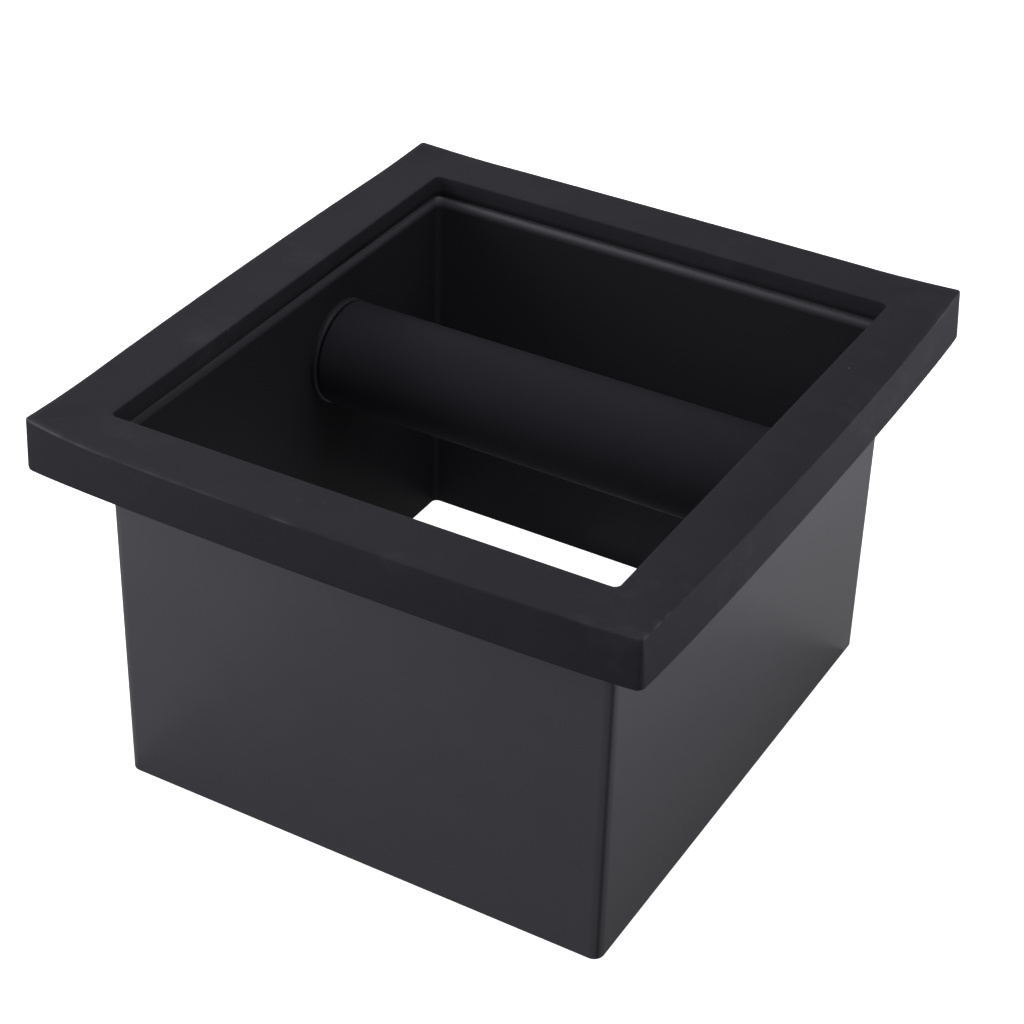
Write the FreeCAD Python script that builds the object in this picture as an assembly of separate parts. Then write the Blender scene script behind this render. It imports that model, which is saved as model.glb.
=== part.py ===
import FreeCAD, Part
import math
import os

from FreeCAD import Vector

# Drop-in knock chute for spent coffee: an open-bottomed sheet-steel box that hangs by its flange in a
# counter cut-out, a rubber rim round the flange, and a rubber-sleeved knock bar across the opening.
# Millimetres. +X runs along the front, +Y to the back, +Z up; the origin is the centre of the bottom
# opening. The bar lies parallel to X.

# Steel body
SHEET = 1.2
BODY_WIDTH = 149.2
BODY_DEPTH = 162.6
FLANGE_TOP = 110.6
FLANGE_WIDTH = 10.0
BODY_CORNER_RADIUS = 3.0
FLANGE_CORNER_RADIUS = 6.0
BEND_OUTER_RADIUS = 3.1
CUT_EDGE_RADIUS = 0.3

# Rubber rim. Its sides are held at the corners and bow outwards between them.
RIM_BOTTOM = 102.2
RIM_TOP = 118.0
RIM_CORNER_WIDTH = 177.4
RIM_CORNER_DEPTH = 193.0
RIM_SIDE_BOW = 1.8
RIM_END_BOW = 2.8
RIM_CORNER_RADIUS = 1.2
RIM_EDGE_RADIUS = 0.8
OPENING_WIDTH = 147.0
OPENING_DEPTH = 161.8
OPENING_CORNER_RADIUS = 2.6
LIP_CLEARANCE = 2.0

# Knock bar
BAR_Y = 26.0
BAR_Z = 83.0
SLEEVE_RADIUS = 15.5
SLEEVE_EDGE_RADIUS = 0.8
SLEEVE_END_GAP = 0.4
RUNNING_CLEARANCE = 0.05
TUBE_RADIUS = 11.0
TUBE_WALL = 1.5
PLUG_LENGTH = 14.0
COLLAR_RADIUS = 15.9
COLLAR_THICKNESS = 1.8
COLLAR_EDGE_RADIUS = 0.8

# M5 button-head socket screws. Threads are plain cylinders.
SCREW_RADIUS = 2.5
SCREW_LENGTH = 16.0
SCREW_HOLE_RADIUS = 2.75
THREAD_CLEARANCE = 0.02
HEAD_RADIUS = 4.75
HEAD_HEIGHT = 2.75
HEAD_RIM_HEIGHT = 0.6
HEAD_CROWN_RADIUS = 2.4
SOCKET_ACROSS_FLATS = 3.0
SOCKET_DEPTH = 1.6

WALL_INNER_X = BODY_WIDTH / 2 - SHEET
TUBE_END_X = WALL_INNER_X - COLLAR_THICKNESS
FLANGE_BOTTOM = FLANGE_TOP - SHEET
BEND_INNER_RADIUS = BEND_OUTER_RADIUS - SHEET
CUT_MARGIN = 1.0

AXIS_X = Vector(1, 0, 0)
AXIS_Z = Vector(0, 0, 1)


def slab(width, depth, corner_radius, bottom, top):
    """A rounded rectangle centred on the Z axis, as a solid from bottom to top."""
    block = Part.makeBox(width, depth, top - bottom, Vector(-width / 2, -depth / 2, bottom))
    return block.makeFillet(corner_radius, upright_edges(block))


def upright_edges(solid):
    """The solid's edges that are parallel to Z."""
    return [edge for edge in solid.Edges if is_upright(edge)]


def is_upright(edge):
    start, end = edge.Vertexes[0].Point, edge.Vertexes[-1].Point
    return abs(end.z - start.z) > 1e-6 and math.hypot(end.x - start.x, end.y - start.y) < 1e-6


def level_edges_at(solid, height, width, depth):
    """The horizontal edges at one height that lie within a width by depth rectangle."""
    found = []
    for edge in solid.Edges:
        box = edge.BoundBox
        level = abs(box.ZMin - height) < 1e-4 and abs(box.ZMax - height) < 1e-4
        within = box.XMax < width / 2 + 1e-3 and box.YMax < depth / 2 + 1e-3
        within = within and box.XMin > -width / 2 - 1e-3 and box.YMin > -depth / 2 - 1e-3
        if level and within:
            found.append(edge)
    return found


def bar_cylinder(radius, start_x, end_x):
    """A cylinder on the bar's axis between two stations along X."""
    return Part.makeCylinder(radius, end_x - start_x, Vector(start_x, BAR_Y, BAR_Z), AXIS_X)


def mirrored(shape):
    """The same piece at the other end of the bar."""
    return shape.mirror(Vector(0, 0, 0), AXIS_X)


def chute_body():
    """Four walls and an outward flange in one sheet, with a bend between them."""
    inner_width = BODY_WIDTH - 2 * SHEET
    inner_depth = BODY_DEPTH - 2 * SHEET
    walls = slab(BODY_WIDTH, BODY_DEPTH, BODY_CORNER_RADIUS, 0, FLANGE_TOP)
    flange = slab(
        BODY_WIDTH + 2 * FLANGE_WIDTH,
        BODY_DEPTH + 2 * FLANGE_WIDTH,
        FLANGE_CORNER_RADIUS,
        FLANGE_BOTTOM,
        FLANGE_TOP,
    )
    inside = slab(
        inner_width,
        inner_depth,
        BODY_CORNER_RADIUS - SHEET,
        -CUT_MARGIN,
        FLANGE_TOP + CUT_MARGIN,
    )
    body = walls.fuse(flange).cut(inside).removeSplitter()
    mouth = level_edges_at(body, FLANGE_TOP, inner_width, inner_depth)
    body = body.makeFillet(BEND_OUTER_RADIUS, mouth)
    root = level_edges_at(body, FLANGE_BOTTOM, BODY_WIDTH, BODY_DEPTH)
    body = body.makeFillet(BEND_INNER_RADIUS, root)
    lower_edges = level_edges_at(body, 0, BODY_WIDTH, BODY_DEPTH)
    body = body.makeFillet(CUT_EDGE_RADIUS, lower_edges)
    hole_length = BODY_WIDTH / 2 + CUT_MARGIN
    holes = bar_cylinder(SCREW_HOLE_RADIUS, -hole_length, hole_length)
    return body.cut(holes)


def bowed_outline(height):
    """The rim's outer outline: four shallow arcs through its corners."""
    half_width = RIM_CORNER_WIDTH / 2
    half_depth = RIM_CORNER_DEPTH / 2
    corners = [
        Vector(-half_width, -half_depth, height),
        Vector(half_width, -half_depth, height),
        Vector(half_width, half_depth, height),
        Vector(-half_width, half_depth, height),
    ]
    middles = [
        Vector(0, -half_depth - RIM_END_BOW, height),
        Vector(half_width + RIM_SIDE_BOW, 0, height),
        Vector(0, half_depth + RIM_END_BOW, height),
        Vector(-half_width - RIM_SIDE_BOW, 0, height),
    ]
    sides = []
    for index, middle in enumerate(middles):
        start, end = corners[index], corners[(index + 1) % len(corners)]
        sides.append(Part.Arc(start, middle, end).toShape())
    return Part.Wire(sides)


def rim_gasket():
    """Soft ring with a slot that grips the flange; its flat underside sits on the counter."""
    outer = Part.Face(bowed_outline(RIM_BOTTOM)).extrude(AXIS_Z * (RIM_TOP - RIM_BOTTOM))
    outer = outer.makeFillet(RIM_CORNER_RADIUS, upright_edges(outer))
    top_edges = level_edges_at(outer, RIM_TOP, RIM_CORNER_WIDTH * 2, RIM_CORNER_DEPTH * 2)
    outer = outer.makeFillet(RIM_EDGE_RADIUS, top_edges)
    mouth = slab(OPENING_WIDTH, OPENING_DEPTH, OPENING_CORNER_RADIUS, FLANGE_BOTTOM, RIM_TOP + CUT_MARGIN)
    slot = slab(
        BODY_WIDTH + 2 * FLANGE_WIDTH,
        BODY_DEPTH + 2 * FLANGE_WIDTH,
        FLANGE_CORNER_RADIUS,
        FLANGE_BOTTOM,
        FLANGE_TOP,
    )
    skirt_hole = slab(
        BODY_WIDTH + 2 * LIP_CLEARANCE,
        BODY_DEPTH + 2 * LIP_CLEARANCE,
        BODY_CORNER_RADIUS + LIP_CLEARANCE,
        RIM_BOTTOM - CUT_MARGIN,
        FLANGE_BOTTOM + SHEET / 2,
    )
    return outer.cut(mouth).cut(slot).cut(skirt_hole).removeSplitter()


def bar_tube():
    """Steel core of the knock bar, clamped between the two collars."""
    outside = bar_cylinder(TUBE_RADIUS, -TUBE_END_X, TUBE_END_X)
    return outside.cut(bar_cylinder(TUBE_RADIUS - TUBE_WALL, -TUBE_END_X, TUBE_END_X))


def bar_plug():
    """Threaded plug welded into the tube's +X end."""
    plug = bar_cylinder(TUBE_RADIUS - TUBE_WALL, TUBE_END_X - PLUG_LENGTH, TUBE_END_X)
    thread_radius = SCREW_RADIUS + THREAD_CLEARANCE
    return plug.cut(bar_cylinder(thread_radius, TUBE_END_X - PLUG_LENGTH, TUBE_END_X))


def bar_sleeve():
    """Thick rubber sleeve that turns on the tube between the collars."""
    half_length = TUBE_END_X - SLEEVE_END_GAP
    sleeve = bar_cylinder(SLEEVE_RADIUS, -half_length, half_length)
    sleeve = sleeve.makeFillet(SLEEVE_EDGE_RADIUS, end_circles(sleeve, SLEEVE_RADIUS))
    return sleeve.cut(bar_cylinder(TUBE_RADIUS + RUNNING_CLEARANCE, -half_length, half_length))


def end_circles(solid, radius):
    """The solid's circular edges of one radius."""
    return [e for e in solid.Edges if isinstance(e.Curve, Part.Circle) and abs(e.Curve.Radius - radius) < 1e-6]


def bar_collar():
    """Disc that keeps the sleeve off the +X wall, with its free edge rounded."""
    collar = bar_cylinder(COLLAR_RADIUS, TUBE_END_X, WALL_INNER_X)
    free_edge = [e for e in end_circles(collar, COLLAR_RADIUS) if e.CenterOfMass.x < TUBE_END_X + 1e-3]
    collar = collar.makeFillet(COLLAR_EDGE_RADIUS, free_edge)
    return collar.cut(bar_cylinder(SCREW_HOLE_RADIUS, TUBE_END_X, WALL_INNER_X))


def bar_screw():
    """Button-head screw from outside the +X wall into the plug, with a hexagonal socket."""
    seat_x = BODY_WIDTH / 2
    top_x = seat_x + HEAD_HEIGHT
    rim_x = seat_x + HEAD_RIM_HEIGHT
    profile = [
        Part.makeLine(Vector(seat_x, 0, 0), Vector(seat_x, HEAD_RADIUS, 0)),
        Part.makeLine(Vector(seat_x, HEAD_RADIUS, 0), Vector(rim_x, HEAD_RADIUS, 0)),
        dome_arc(rim_x, top_x),
        Part.makeLine(Vector(top_x, HEAD_CROWN_RADIUS, 0), Vector(top_x, 0, 0)),
        Part.makeLine(Vector(top_x, 0, 0), Vector(seat_x, 0, 0)),
    ]
    head = Part.Face(Part.Wire(profile)).revolve(Vector(0, 0, 0), AXIS_X, 360)
    head.translate(Vector(0, BAR_Y, BAR_Z))
    shank = bar_cylinder(SCREW_RADIUS, seat_x - SCREW_LENGTH, seat_x)
    return head.fuse(shank).cut(hex_socket(top_x)).removeSplitter()


def dome_arc(rim_x, top_x):
    """The head's dome in profile: an arc centred on the screw's axis, from its rim to its flat crown."""
    rise = top_x**2 + HEAD_CROWN_RADIUS**2 - rim_x**2 - HEAD_RADIUS**2
    centre_x = rise / (2 * (top_x - rim_x))
    dome_radius = math.hypot(rim_x - centre_x, HEAD_RADIUS)
    rim_angle = math.atan2(HEAD_RADIUS, rim_x - centre_x)
    crown_angle = math.atan2(HEAD_CROWN_RADIUS, top_x - centre_x)
    middle_angle = (rim_angle + crown_angle) / 2
    middle = Vector(
        centre_x + dome_radius * math.cos(middle_angle), dome_radius * math.sin(middle_angle), 0
    )
    return Part.Arc(Vector(rim_x, HEAD_RADIUS, 0), middle, Vector(top_x, HEAD_CROWN_RADIUS, 0)).toShape()


def hex_socket(top_x):
    """Hexagonal recess that opens at the head's crown."""
    corner_radius = SOCKET_ACROSS_FLATS / math.sqrt(3)
    corners = []
    for index in range(7):
        angle = math.radians(60 * index)
        y = BAR_Y + corner_radius * math.cos(angle)
        z = BAR_Z + corner_radius * math.sin(angle)
        corners.append(Vector(top_x - SOCKET_DEPTH, y, z))
    return Part.Face(Part.makePolygon(corners)).extrude(AXIS_X * (SOCKET_DEPTH + CUT_MARGIN))


def single_solid(shape):
    """The one solid of a shape, as every piece here is one solid."""
    if len(shape.Solids) != 1:
        raise ValueError("expected one solid, got %d" % len(shape.Solids))
    return shape.Solids[0]


def build():
    plug = bar_plug()
    collar = bar_collar()
    screw = bar_screw()
    pieces = {
        "chute_body": chute_body(),
        "rim_gasket": rim_gasket(),
        "bar_tube": bar_tube(),
        "bar_sleeve": bar_sleeve(),
        "bar_plug_left": mirrored(plug),
        "bar_plug_right": plug,
        "bar_collar_left": mirrored(collar),
        "bar_collar_right": collar,
        "bar_screw_left": mirrored(screw),
        "bar_screw_right": screw,
    }
    os.makedirs("parts", exist_ok=True)
    for name, shape in pieces.items():
        solid = single_solid(shape)
        solid.exportStep(os.path.join("parts", name + ".step"))
        print("%-18s volume %9.1f mm3, valid %s" % (name, solid.Volume, solid.isValid()))


build()
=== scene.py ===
import math

import bpy
from mathutils import Matrix, Vector


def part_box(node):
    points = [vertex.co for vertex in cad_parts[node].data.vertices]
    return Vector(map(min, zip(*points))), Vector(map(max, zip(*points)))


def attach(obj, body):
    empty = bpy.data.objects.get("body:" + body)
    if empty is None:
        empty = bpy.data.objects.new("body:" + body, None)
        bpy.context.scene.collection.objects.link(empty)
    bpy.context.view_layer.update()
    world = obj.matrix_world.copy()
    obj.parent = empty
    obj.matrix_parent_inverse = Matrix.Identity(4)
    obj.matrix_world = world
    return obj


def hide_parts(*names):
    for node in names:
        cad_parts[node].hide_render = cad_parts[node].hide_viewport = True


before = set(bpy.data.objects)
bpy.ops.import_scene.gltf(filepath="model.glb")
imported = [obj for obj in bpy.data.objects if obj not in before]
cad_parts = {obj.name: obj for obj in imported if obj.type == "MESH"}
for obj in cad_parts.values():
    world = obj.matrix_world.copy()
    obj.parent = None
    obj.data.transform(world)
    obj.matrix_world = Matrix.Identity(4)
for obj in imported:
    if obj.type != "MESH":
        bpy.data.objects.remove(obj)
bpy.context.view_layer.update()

MM = 0.001
MICRON = 0.001 * MM

# ---------------------------------------------------------------- sizes, from the frame in metres
BODY_LOW, BODY_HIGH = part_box("chute_body")
RIM_LOW, RIM_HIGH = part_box("rim_gasket")
SLEEVE_LOW, SLEEVE_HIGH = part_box("bar_sleeve")
FLANGE_TOP = BODY_HIGH.z
FLANGE_WIDTH = 10 * MM
FLANGE_HALF = Vector((BODY_HIGH.x, BODY_HIGH.y))
BODY_HALF = FLANGE_HALF - Vector((FLANGE_WIDTH, FLANGE_WIDTH))
SHEET = 1.2 * MM
BEND_RADIUS = 3.1 * MM
BAR_CENTRE = (SLEEVE_LOW + SLEEVE_HIGH) / 2
SLEEVE_RADIUS = (SLEEVE_HIGH.z - SLEEVE_LOW.z) / 2

# ---------------------------------------------------------------- camera
CAMERA_PLACE = Vector((0.28071, -0.50484, 0.45229))
CAMERA_AIM = Vector((-0.0046, 0.0085, 0.06009))
CAMERA_ROLL = math.radians(1.711)
CAMERA_LENS = 88.04


def make_camera():
    """The product-shot camera: long lens, 34 degrees down, rolled slightly."""
    back = (CAMERA_PLACE - CAMERA_AIM).normalized()
    level_right = Vector((0, 0, 1)).cross(back).normalized()
    level_up = back.cross(level_right)
    right = level_right * math.cos(CAMERA_ROLL) + level_up * math.sin(CAMERA_ROLL)
    up = level_up * math.cos(CAMERA_ROLL) - level_right * math.sin(CAMERA_ROLL)
    turn = Matrix((right, up, back)).transposed().to_4x4()
    data = bpy.data.cameras.new("camera")
    data.lens = CAMERA_LENS
    data.sensor_width = 36.0
    camera = bpy.data.objects.new("camera", data)
    camera.matrix_world = Matrix.Translation(CAMERA_PLACE) @ turn
    bpy.context.scene.collection.objects.link(camera)
    bpy.context.scene.camera = camera


# ---------------------------------------------------------------- materials
# Each pair of tones is the darker and the lighter end of that material's cloudiness.
COOL_TINT = (0.90, 0.90, 1.0, 1)
CHUTE_TONES = ((0.0680, 0.0674, 0.0795), (0.0780, 0.0773, 0.0910))
# Painted shade: the chute's inner faces get this darker tone and a duller sheen in place of the shade
# inside the chute; the coat is the same inside and out.
INSIDE_SHADE_TONE = (0.0262, 0.0261, 0.0303)
INSIDE_SHADE_SHEEN = 0.12
# Painted shade: the collars are the chute's coat, given a darker tone for the shade they sit in inside
# the chute.
COLLAR_SHADE_TONES = ((0.0250, 0.0248, 0.0295), (0.0275, 0.0272, 0.0325))
RIM_TONES = ((0.0302, 0.0301, 0.0368), (0.0376, 0.0375, 0.0458))
FILM_TONE = (0.070, 0.070, 0.080)
# Painted highlight: the paler tone along the mould fin on the rim's outer top edge.
BURR_HIGHLIGHT_TONE = (0.105, 0.105, 0.118)
DUST_TONE = (0.20, 0.20, 0.21)
SLEEVE_TONES = ((0.0242, 0.0244, 0.0300), (0.0272, 0.0274, 0.0338))
STEEL_TONES = ((0.50, 0.50, 0.51), (0.58, 0.58, 0.59))


def new_material(name):
    """A node material with its Principled shader, ready for more nodes."""
    material = bpy.data.materials.new(name)
    material.use_nodes = True
    return material, material.node_tree.nodes, material.node_tree.links


def shader_of(nodes):
    return next(n for n in nodes if n.type == "BSDF_PRINCIPLED")


def object_coordinates(nodes):
    return nodes.new("ShaderNodeTexCoord").outputs["Object"]


def noise_value(nodes, links, coordinates, scale, detail=3.0, roughness=0.55):
    """A noise texture's factor, where scale is in cycles per metre."""
    texture = nodes.new("ShaderNodeTexNoise")
    texture.inputs["Scale"].default_value = scale
    texture.inputs["Detail"].default_value = detail
    texture.inputs["Roughness"].default_value = roughness
    links.new(coordinates, texture.inputs["Vector"])
    return texture.outputs["Fac"]


def remap(nodes, links, value, low, high, to_low, to_high):
    """A value from low..high carried to to_low..to_high, clamped."""
    node = nodes.new("ShaderNodeMapRange")
    node.inputs["From Min"].default_value = low
    node.inputs["From Max"].default_value = high
    node.inputs["To Min"].default_value = to_low
    node.inputs["To Max"].default_value = to_high
    links.new(value, node.inputs["Value"])
    return node.outputs["Result"]


def mix_colour(nodes, links, factor, first, second):
    """Two colours, or colour sockets, mixed by a factor socket."""
    node = nodes.new("ShaderNodeMix")
    node.data_type = "RGBA"
    links.new(factor, node.inputs["Factor"])
    for socket, value in ((node.inputs[6], first), (node.inputs[7], second)):
        if isinstance(value, bpy.types.NodeSocket):
            links.new(value, socket)
        else:
            socket.default_value = (*value, 1)
    return node.outputs[2]


def add_bump(nodes, links, height, distance, strength, before=None):
    """A bump from a height socket; distance is in metres."""
    node = nodes.new("ShaderNodeBump")
    node.inputs["Distance"].default_value = distance
    node.inputs["Strength"].default_value = strength
    links.new(height, node.inputs["Height"])
    if before is not None:
        links.new(before, node.inputs["Normal"])
    return node.outputs["Normal"]


def product(nodes, links, factors):
    """All the factors multiplied together."""
    result = factors[0]
    for factor in factors[1:]:
        node = nodes.new("ShaderNodeMath")
        node.operation = "MULTIPLY"
        links.new(result, node.inputs[0])
        links.new(factor, node.inputs[1])
        result = node.outputs[0]
    return result


def inside_shade_mask(nodes, links, where):
    """Where the painted shade goes: 1 on the chute's inner faces below the bend, 0 on its outer ones,
    changing inside the sheet.
    """
    parts = nodes.new("ShaderNodeSeparateXYZ")
    links.new(where, parts.inputs[0])
    factors = []
    for axis, outer in (("X", BODY_HALF.x), ("Y", BODY_HALF.y)):
        size = nodes.new("ShaderNodeMath")
        size.operation = "ABSOLUTE"
        links.new(parts.outputs[axis], size.inputs[0])
        start, end = outer - SHEET + 0.2 * MM, outer - 0.4 * MM
        factors.append(remap(nodes, links, size.outputs[0], start, end, 1, 0))
    bend_end = FLANGE_TOP - BEND_RADIUS
    start, end = bend_end - 1.0 * MM, bend_end + 0.5 * MM
    factors.append(remap(nodes, links, parts.outputs["Z"], start, end, 1, 0))
    return product(nodes, links, factors)


def coated_steel(name, tones, sheen, shade_inside):
    """Satin black powder coat: faint orange peel, fine grain, and, if shade_inside, painted shade: a
    darker, duller tone on the chute's inner faces.
    """
    material, nodes, links = new_material(name)
    shader = shader_of(nodes)
    where = object_coordinates(nodes)
    cloud = noise_value(nodes, links, where, 60, 2)
    grain = noise_value(nodes, links, where, 4200, 2)
    peel = noise_value(nodes, links, where, 900, 3)
    tone = mix_colour(nodes, links, cloud, *tones)
    gloss = remap(nodes, links, grain, 0.3, 0.7, 0.40, 0.47)
    shader.inputs["Specular IOR Level"].default_value = sheen
    if shade_inside:
        # Painted shade: a darker tone and less sheen on the inner faces, standing in for the shade
        # inside the chute.
        inside = inside_shade_mask(nodes, links, where)
        tone = mix_colour(nodes, links, inside, tone, INSIDE_SHADE_TONE)
        level = remap(nodes, links, inside, 0, 1, sheen, sheen * INSIDE_SHADE_SHEEN)
        links.new(level, shader.inputs["Specular IOR Level"])
    links.new(tone, shader.inputs["Base Color"])
    links.new(gloss, shader.inputs["Roughness"])
    bumps = add_bump(nodes, links, peel, 40 * MICRON, 0.5)
    bumps = add_bump(nodes, links, grain, 10 * MICRON, 0.4, bumps)
    links.new(bumps, shader.inputs["Normal"])
    shader.inputs["IOR"].default_value = 1.45
    shader.inputs["Specular Tint"].default_value = COOL_TINT
    return material


def rim_rubber():
    """Matte moulded rubber: a dusty film, a few specks, and the fin where the mould halves met, painted
    paler as a highlight along the outer top edge.
    """
    material, nodes, links = new_material("rim_rubber")
    shader = shader_of(nodes)
    where = object_coordinates(nodes)
    cloud = noise_value(nodes, links, where, 90, 4)
    grain = noise_value(nodes, links, where, 2600, 3)
    tone = mix_colour(nodes, links, cloud, *RIM_TONES)
    film = noise_value(nodes, links, where, 38, 5, 0.7)
    film = remap(nodes, links, film, 0.56, 0.78, 0, 0.45)
    tone = mix_colour(nodes, links, film, tone, FILM_TONE)
    # Painted highlight: the mould fin's weight lightens the rubber along the outer top edge, standing
    # in for the light that fin catches.
    burr_and_highlight = nodes.new("ShaderNodeAttribute")
    burr_and_highlight.attribute_name = "burr_and_highlight"
    tone = mix_colour(nodes, links, burr_and_highlight.outputs["Fac"], tone, BURR_HIGHLIGHT_TONE)
    dust = nodes.new("ShaderNodeTexVoronoi")
    dust.inputs["Scale"].default_value = 140
    links.new(where, dust.inputs["Vector"])
    speck = remap(nodes, links, dust.outputs["Distance"], 0.02, 0.055, 1, 0)
    chosen = remap(nodes, links, dust.outputs["Color"], 0.76, 0.90, 0, 0.9)
    tone = mix_colour(nodes, links, product(nodes, links, (speck, chosen)), tone, DUST_TONE)
    links.new(tone, shader.inputs["Base Color"])
    gloss = remap(nodes, links, grain, 0.3, 0.7, 0.58, 0.70)
    links.new(gloss, shader.inputs["Roughness"])
    bumps = add_bump(nodes, links, grain, 30 * MICRON, 0.6)
    links.new(bumps, shader.inputs["Normal"])
    shader.inputs["IOR"].default_value = 1.42
    shader.inputs["Specular IOR Level"].default_value = 0.06
    shader.inputs["Specular Tint"].default_value = COOL_TINT
    return material


def sleeve_rubber():
    """Smooth matte rubber of the knock bar's sleeve."""
    material, nodes, links = new_material("sleeve_rubber")
    shader = shader_of(nodes)
    where = object_coordinates(nodes)
    cloud = noise_value(nodes, links, where, 70, 3)
    grain = noise_value(nodes, links, where, 2200, 3)
    tone = mix_colour(nodes, links, cloud, *SLEEVE_TONES)
    links.new(tone, shader.inputs["Base Color"])
    gloss = remap(nodes, links, grain, 0.3, 0.7, 0.58, 0.68)
    links.new(gloss, shader.inputs["Roughness"])
    bumps = add_bump(nodes, links, grain, 20 * MICRON, 0.5)
    links.new(bumps, shader.inputs["Normal"])
    shader.inputs["IOR"].default_value = 1.45
    shader.inputs["Specular IOR Level"].default_value = 0.04
    shader.inputs["Specular Tint"].default_value = COOL_TINT
    return material


def stainless_steel():
    """Turned stainless steel with fine tool marks round the bar's axis."""
    material, nodes, links = new_material("stainless_steel")
    shader = shader_of(nodes)
    where = object_coordinates(nodes)
    marks = nodes.new("ShaderNodeTexWave")
    marks.wave_type = "RINGS"
    marks.rings_direction = "X"
    marks.inputs["Scale"].default_value = 900
    marks.inputs["Distortion"].default_value = 1.5
    shift = nodes.new("ShaderNodeVectorMath")
    shift.operation = "SUBTRACT"
    shift.inputs[1].default_value = BAR_CENTRE
    links.new(where, shift.inputs[0])
    links.new(shift.outputs[0], marks.inputs["Vector"])
    tone = mix_colour(nodes, links, marks.outputs["Fac"], *STEEL_TONES)
    links.new(tone, shader.inputs["Base Color"])
    gloss = remap(nodes, links, marks.outputs["Fac"], 0, 1, 0.24, 0.34)
    links.new(gloss, shader.inputs["Roughness"])
    shader.inputs["Metallic"].default_value = 1.0
    bumps = add_bump(nodes, links, marks.outputs["Fac"], 10 * MICRON, 0.3)
    links.new(bumps, shader.inputs["Normal"])
    return material


# ---------------------------------------------------------------- mesh helpers
def mesh_object(name, points, faces, smooth=True):
    """A mesh piece from points in metres."""
    data = bpy.data.meshes.new(name)
    data.from_pydata(points, [], faces)
    data.update()
    if smooth:
        data.shade_smooth()
    piece = bpy.data.objects.new(name, data)
    bpy.context.scene.collection.objects.link(piece)
    return piece


def closed_grid_faces(rings, around):
    """Quads of a torus-like grid: rings closed both along and around."""
    faces = []
    for ring in range(rings):
        after = (ring + 1) % rings
        for k in range(around):
            beside = (k + 1) % around
            near = (ring * around + k, ring * around + beside)
            faces.append((*near, after * around + beside, after * around + k))
    return faces


# ---------------------------------------------------------------- rubber rim
# The soft rim doesn't sit square on the flange: its corners are given one by one, front left first and
# then anticlockwise from above, and its sides bow out and sag between them. All in millimetres.
SIDE_STEPS = 150
CORNER_CROWDING = 0.4
CORNER_STEPS = 8
SIDE_NORMALS = (Vector((0, -1)), Vector((1, 0)), Vector((0, 1)), Vector((-1, 0)))
TOP_CORNERS = ((-87.6, -96.3), (87.5, -95.0), (88.3, 95.7), (-88.5, 95.5))
TOP_BOWS = (3.2, 0.7, 3.4, 1.7)
TOP_CORNER_RADIUS = 0.6
TOP_SAGS = (-0.2, 2.1, 1.0, -0.3)
TOP_BELOW_TIPS = 1.1
TIP_HEIGHTS = (1.4, -0.2, 1.3, 1.2)
TIP_REACH = 0.7
FOOT_CORNERS = ((-89.1, -95.8), (88.2, -95.4), (88.6, 97.8), (-88.8, 97.2))
FOOT_BOWS = (3.2, 2.0, 1.5, 1.7)
FOOT_CORNER_RADIUS = 1.4
FOOT_SAGS = (-0.6, 0.1, 0.0, 0.0)
BOW_POWER = 0.7
SAG_POWER = 1.2
MOUTH_CORNERS = ((-72.3, -81.2), (73.0, -79.7), (73.2, 80.1), (-73.8, 80.7))
MOUTH_RADIUS = 1.8
MOUTH_DROP = 1.4
LIP_HALF = (76.6, 83.3)
LIP_RADIUS = 5.0
FLANGE_RADIUS = 6.0
SLOT_GAP = 0.02
MOUTH_ROUND = 0.5
EDGE_ROUND = 0.6
FOOT_ROUND = 1.2
BURR_HEIGHT = 0.08
BURR_WEIGHTS = (0.25, 0.8, 1.0, 0.8, 0.25, 0.0)


def rim_stations():
    """(side, place along it from 0 to 1, corner angle from 0 to 1 or None) for every station."""
    stations = []
    for side in range(4):
        for step in range(SIDE_STEPS + 1):
            even = step / SIDE_STEPS
            eased = (1 - math.cos(math.pi * even)) / 2
            place = even * (1 - CORNER_CROWDING) + eased * CORNER_CROWDING
            stations.append((side, place, None))
        for step in range(1, CORNER_STEPS):
            stations.append((side, 1.0, step / CORNER_STEPS))
    return stations


def rectangle_corners(half):
    x, y = half
    return ((-x, -y), (x, -y), (x, y), (-x, y))


def side_point(corners, bows, side, place):
    """A point on one side of a four-cornered outline, pushed outwards between its corners."""
    start, end = Vector(corners[side]), Vector(corners[(side + 1) % 4])
    reach = 2 * place - 1
    push = bows[side] * (1 - reach * reach) ** BOW_POWER
    return start.lerp(end, place) + SIDE_NORMALS[side] * push


def outline_point(station, corners, radius, bows=(0, 0, 0, 0)):
    """The plan point of a station on a four-cornered outline with rounded corners."""
    side, place, corner = station
    after = (side + 1) % 4
    length = (Vector(corners[after]) - Vector(corners[side])).length
    inset = radius / length
    if corner is None:
        return side_point(corners, bows, side, inset + place * (1 - 2 * inset))
    after_length = (Vector(corners[(after + 1) % 4]) - Vector(corners[after])).length
    first = side_point(corners, bows, side, 1 - inset)
    last = side_point(corners, bows, after, radius / after_length)
    tip = Vector(corners[after])
    # A quarter circle's weights, so that the corner is round and not a parabola.
    weight = math.sqrt(0.5)
    parts = ((1 - corner) ** 2, 2 * weight * corner * (1 - corner), corner**2)
    return (first * parts[0] + tip * parts[1] + last * parts[2]) / sum(parts)


def reach_of(station):
    """0 at the middle of a side and 1 at its corners."""
    _, place, corner = station
    return 1.0 if corner is not None else abs(2 * place - 1)


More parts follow.
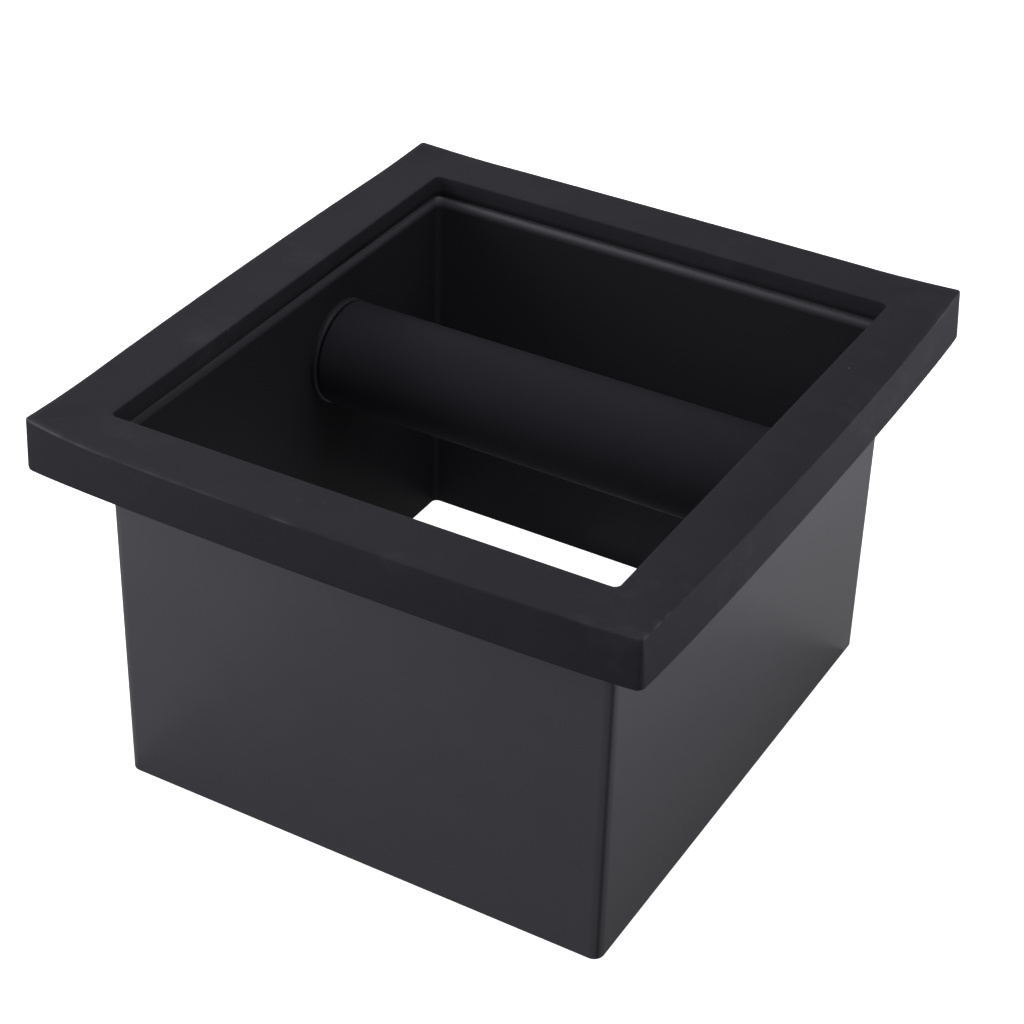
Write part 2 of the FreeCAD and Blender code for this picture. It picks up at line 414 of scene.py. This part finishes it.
def top_height(station):
    """Height of the rim's outer top edge: three corners' tips curl up and two sides sag."""
    side, place, _ = station
    reach = reach_of(station)
    near = side if place < 0.5 else (side + 1) % 4
    curl = max(0.0, (reach - TIP_REACH) / (1 - TIP_REACH))
    sag = TOP_SAGS[side] * (1 - reach * reach) ** SAG_POWER
    return RIM_HIGH.z / MM - TOP_BELOW_TIPS + TIP_HEIGHTS[near] * curl * curl - sag


def foot_height(station):
    """Height of the rim's lower edge."""
    reach = reach_of(station)
    return RIM_LOW.z / MM - FOOT_SAGS[station[0]] * (1 - reach * reach)


def hump(place, centre, half_width):
    """1 at the centre, falling smoothly to 0 at the half width."""
    away = min(1.0, abs(place - centre) / half_width)
    return (1 - away * away) ** 2


def burr_amount(station):
    """How much of the mould's fin is left on the outer top edge; 1 is its usual height. It also sets
    how much painted highlight that edge gets.
    """
    side, place, _ = station
    ragged = 0.72 + 0.2 * math.sin(61 * place + 1.3 * side) + 0.16 * math.sin(143 * place + side)
    if side == 0:
        left = 1.4 * hump(place, 0.04, 0.12) + 0.5 * hump(place, 0.25, 0.22)
        left += 0.6 * hump(place, 0.455, 0.03)
        return left * ragged + 0.15 * hump(place, 0.92, 0.03)
    if side == 1:
        flecks = 0.9 * hump(place, 0.0, 0.018) + 0.7 * hump(place, 0.035, 0.014)
        flecks += 0.4 * hump(place, 0.06, 0.01)
        return flecks + 0.75 * hump(place, 1.0, 0.28) * ragged
    if side == 2:
        return (0.7 * hump(place, 0.0, 0.2) + 0.3) * ragged
    return (0.3 + 0.6 * hump(place, 1.0, 0.2)) * ragged


def arc_blend(first, corner, last, steps):
    """Points that round a corner, from first to last, without its ends."""
    points = []
    for step in range(1, steps):
        t = step / steps
        points.append(first * (1 - t) ** 2 + corner * 2 * t * (1 - t) + last * t * t)
    return points


def flat(point, height):
    return Vector((point.x, point.y, height))


def rim_section(station):
    """The closed section at one station, with the burr's weight at each point."""
    mouth = outline_point(station, MOUTH_CORNERS, MOUTH_RADIUS)
    top = outline_point(station, TOP_CORNERS, TOP_CORNER_RADIUS, TOP_BOWS)
    bottom = outline_point(station, FOOT_CORNERS, FOOT_CORNER_RADIUS, FOOT_BOWS)
    lip = outline_point(station, rectangle_corners(LIP_HALF), LIP_RADIUS)
    flange = (FLANGE_HALF.x / MM + SLOT_GAP, FLANGE_HALF.y / MM + SLOT_GAP)
    slot = outline_point(station, rectangle_corners(flange), FLANGE_RADIUS)
    outwards = (top - mouth).normalized()
    high = top_height(station)
    mouth_high = RIM_HIGH.z / MM - MOUTH_DROP
    low = foot_height(station)
    slot_top = FLANGE_TOP / MM + SLOT_GAP
    slot_bottom = (FLANGE_TOP - SHEET) / MM - SLOT_GAP

    points = [flat(mouth, slot_top)]
    points += [flat(mouth, slot_top + (mouth_high - slot_top) * k) for k in (0.3, 0.6)]
    start = flat(mouth, mouth_high - MOUTH_ROUND)
    end = flat(mouth + outwards * MOUTH_ROUND, mouth_high)
    points += [start, *arc_blend(start, flat(mouth, mouth_high), end, 4), end]
    edge = flat(top - outwards * EDGE_ROUND, high)
    for k in range(1, 10):
        t = k / 10
        point = end.lerp(edge, t)
        point.z = mouth_high + (high - mouth_high) * t**2
        points.append(point)
    side = flat(top, high - EDGE_ROUND)
    arc = [edge, *arc_blend(edge, flat(top, high), side, 5), side]
    amount = burr_amount(station)
    raised = Vector((outwards.x, outwards.y, 1)) * BURR_HEIGHT * amount
    weights = [0.0] * len(points) + [amount * w for w in BURR_WEIGHTS]
    points += [point + raised * weight**2 for point, weight in zip(arc, BURR_WEIGHTS)]
    foot = flat(bottom, low + FOOT_ROUND)
    points += [side.lerp(foot, k / 6) for k in range(1, 6)]
    inward = flat(bottom - outwards * FOOT_ROUND, low)
    points += [foot, *arc_blend(foot, flat(bottom, low), inward, 5), inward]
    heel = flat(lip, low)
    points += [inward.lerp(heel, k / 4) for k in range(1, 4)]
    points += [heel, flat(lip, slot_bottom), flat(slot, slot_bottom), flat(slot, slot_top)]
    return points, weights + [0.0] * (len(points) - len(weights))


def make_rim():
    sections = [rim_section(station) for station in rim_stations()]
    around = len(sections[0][0])
    points = [point * MM for section, weights in sections for point in section]
    faces = closed_grid_faces(len(sections), around)
    piece = mesh_object("rubber_rim", points, faces)
    # This attribute is the mould fin's weight, read by the rubber as a painted highlight along the
    # edge.
    burr_and_highlight = piece.data.attributes.new("burr_and_highlight", "FLOAT", "POINT")
    burr_and_highlight.data.foreach_set("value", [w for section, weights in sections for w in weights])
    piece.data.materials.append(RIM_RUBBER)
    return piece


# ---------------------------------------------------------------- knock-bar sleeve
SLEEVE_SIDES = 192
SLEEVE_BORE = 11.05 * MM
SLEEVE_END_ROUND = 0.8 * MM
END_BAND = 1.5 * MM


def sleeve_profile():
    """(x, radius) round the sleeve's section, from the bore out and back."""
    end = SLEEVE_HIGH.x
    outer = SLEEVE_RADIUS
    half = [(end, SLEEVE_BORE), (end, SLEEVE_BORE + END_BAND), (end, outer - SLEEVE_END_ROUND)]
    for step in range(1, 6):
        angle = math.pi / 2 * step / 6
        half.append((
            end - SLEEVE_END_ROUND * (1 - math.cos(angle)),
            outer - SLEEVE_END_ROUND * (1 - math.sin(angle)),
        ))
    half.append((end - SLEEVE_END_ROUND, outer))
    for step in range(1, 24):
        half.append(((end - SLEEVE_END_ROUND) * (1 - step / 24), outer))
    other = [(-x, r) for x, r in reversed(half)]
    return half + [(0, outer)] + other


def make_sleeve():
    profile = sleeve_profile()
    points = []
    for side in range(SLEEVE_SIDES):
        angle = 2 * math.pi * side / SLEEVE_SIDES
        for x, radius in profile:
            points.append((
                BAR_CENTRE.x + x,
                BAR_CENTRE.y + radius * math.cos(angle),
                BAR_CENTRE.z + radius * math.sin(angle),
            ))
    faces = closed_grid_faces(SLEEVE_SIDES, len(profile))
    piece = mesh_object("knock_bar_sleeve", points, faces)
    piece.data.materials.append(SLEEVE_RUBBER)
    return piece


# ---------------------------------------------------------------- studio
STUDIO = 6.0
LIGHT_AIM = Vector((0, 0, 0.06))


def glowing_white(name, glow):
    """Plain white that also gives off light of its own."""
    material, nodes, _ = new_material(name)
    shader = shader_of(nodes)
    shader.inputs["Base Color"].default_value = (0.8, 0.8, 0.8, 1)
    shader.inputs["Roughness"].default_value = 0.8
    shader.inputs["Emission Color"].default_value = (1, 1, 1, 1)
    shader.inputs["Emission Strength"].default_value = glow
    return material


def make_table(glow):
    """A white table and backdrop that glow for the camera, but neither light nor show in the object."""
    corners = [(-STUDIO, -STUDIO), (STUDIO, -STUDIO), (STUDIO, STUDIO), (-STUDIO, STUDIO)]
    floor = mesh_object("floor", [(x, y, 0) for x, y in corners], [(0, 1, 2, 3)], smooth=False)
    points = [(x, y, z) for z in (-MM, STUDIO) for x, y in corners]
    walls = [(k, (k + 1) % 4, (k + 1) % 4 + 4, k + 4) for k in range(4)]
    backdrop = mesh_object("backdrop", points, [*walls, (4, 5, 6, 7)], smooth=False)
    backdrop.visible_shadow = False
    for piece in (floor, backdrop):
        piece.data.materials.append(glowing_white(piece.name, glow))
        piece.visible_glossy = False
        piece.visible_diffuse = False


def make_world(strength):
    """Even white light from all round."""
    world = bpy.data.worlds.new("studio")
    world.use_nodes = True
    background = world.node_tree.nodes["Background"]
    background.inputs["Color"].default_value = (1, 1, 1, 1)
    background.inputs["Strength"].default_value = strength
    bpy.context.scene.world = world


def softbox(name, azimuth, elevation, distance, size, power):
    """A square area light that faces the object's middle."""
    a, e = math.radians(azimuth), math.radians(elevation)
    back = Vector((math.sin(a) * math.cos(e), -math.cos(a) * math.cos(e), math.sin(e)))
    data = bpy.data.lights.new(name, "AREA")
    data.shape = "SQUARE"
    data.size = size
    data.energy = power
    lamp = bpy.data.objects.new(name, data)
    lamp.location = LIGHT_AIM + back * distance
    lamp.rotation_mode = "QUATERNION"
    lamp.rotation_quaternion = back.to_track_quat("Z", "Y")
    lamp.visible_camera = False
    bpy.context.scene.collection.objects.link(lamp)


def underlight(name, azimuth, distance, size, power):
    """A square area light that lies on the table, unseen by the camera, and shines upwards."""
    a = math.radians(azimuth)
    data = bpy.data.lights.new(name, "AREA")
    data.shape = "SQUARE"
    data.size = size
    data.energy = power
    lamp = bpy.data.objects.new(name, data)
    lamp.location = (math.sin(a) * distance, -math.cos(a) * distance, MM)
    lamp.rotation_mode = "QUATERNION"
    lamp.rotation_quaternion = Vector((0, 0, -1)).to_track_quat("Z", "Y")
    lamp.visible_camera = False
    bpy.context.scene.collection.objects.link(lamp)


CHUTE_STEEL = coated_steel("coated_steel", CHUTE_TONES, 0.50, True)
# The collars' material is a shaded copy of the chute's coat: painted shade, darker and duller.
COLLAR_SHADED_STEEL = coated_steel("coated_steel_collar_shaded", COLLAR_SHADE_TONES, 0.20, False)
RIM_RUBBER = rim_rubber()
SLEEVE_RUBBER = sleeve_rubber()
STAINLESS = stainless_steel()

NODE_MATERIALS = {
    "chute_body": CHUTE_STEEL,
    "bar_collar_left": COLLAR_SHADED_STEEL,
    "bar_collar_right": COLLAR_SHADED_STEEL,
    "bar_tube": STAINLESS,
    "bar_plug_left": STAINLESS,
    "bar_plug_right": STAINLESS,
    "bar_screw_left": STAINLESS,
    "bar_screw_right": STAINLESS,
}
for node, material in NODE_MATERIALS.items():
    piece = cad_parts[node]
    for slot in piece.material_slots:
        slot.material = material

rim = make_rim()
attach(rim, "chute")
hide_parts("rim_gasket")

sleeve = make_sleeve()
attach(sleeve, "sleeve")
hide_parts("bar_sleeve")

make_camera()
make_table(1.0)
make_world(0.24)
softbox("top", 0, 85, 0.8, 0.3, 1.9)
softbox("back_left", 225, 20, 0.7, 0.35, 0.73)
softbox("front_left", 315, 20, 0.7, 0.35, 1.23)
softbox("right", 100, 30, 0.7, 0.35, 0.5)
underlight("right_near", 90, 0.34, 0.2, 0.40)
underlight("back_right", 135, 0.7, 0.45, 6.6)
underlight("front_left_low", 315, 0.7, 0.45, 4.3)
underlight("opening_front", 0, 0.05, 0.05, 0.007)
underlight("opening_back", 180, 0.055, 0.04, 0.0016)
underlight("back_right_near", 135, 0.19, 0.12, 0.013)
underlight("front_left_near", 315, 0.19, 0.12, 0.011)
bpy.context.scene.view_settings.view_transform = "Standard"
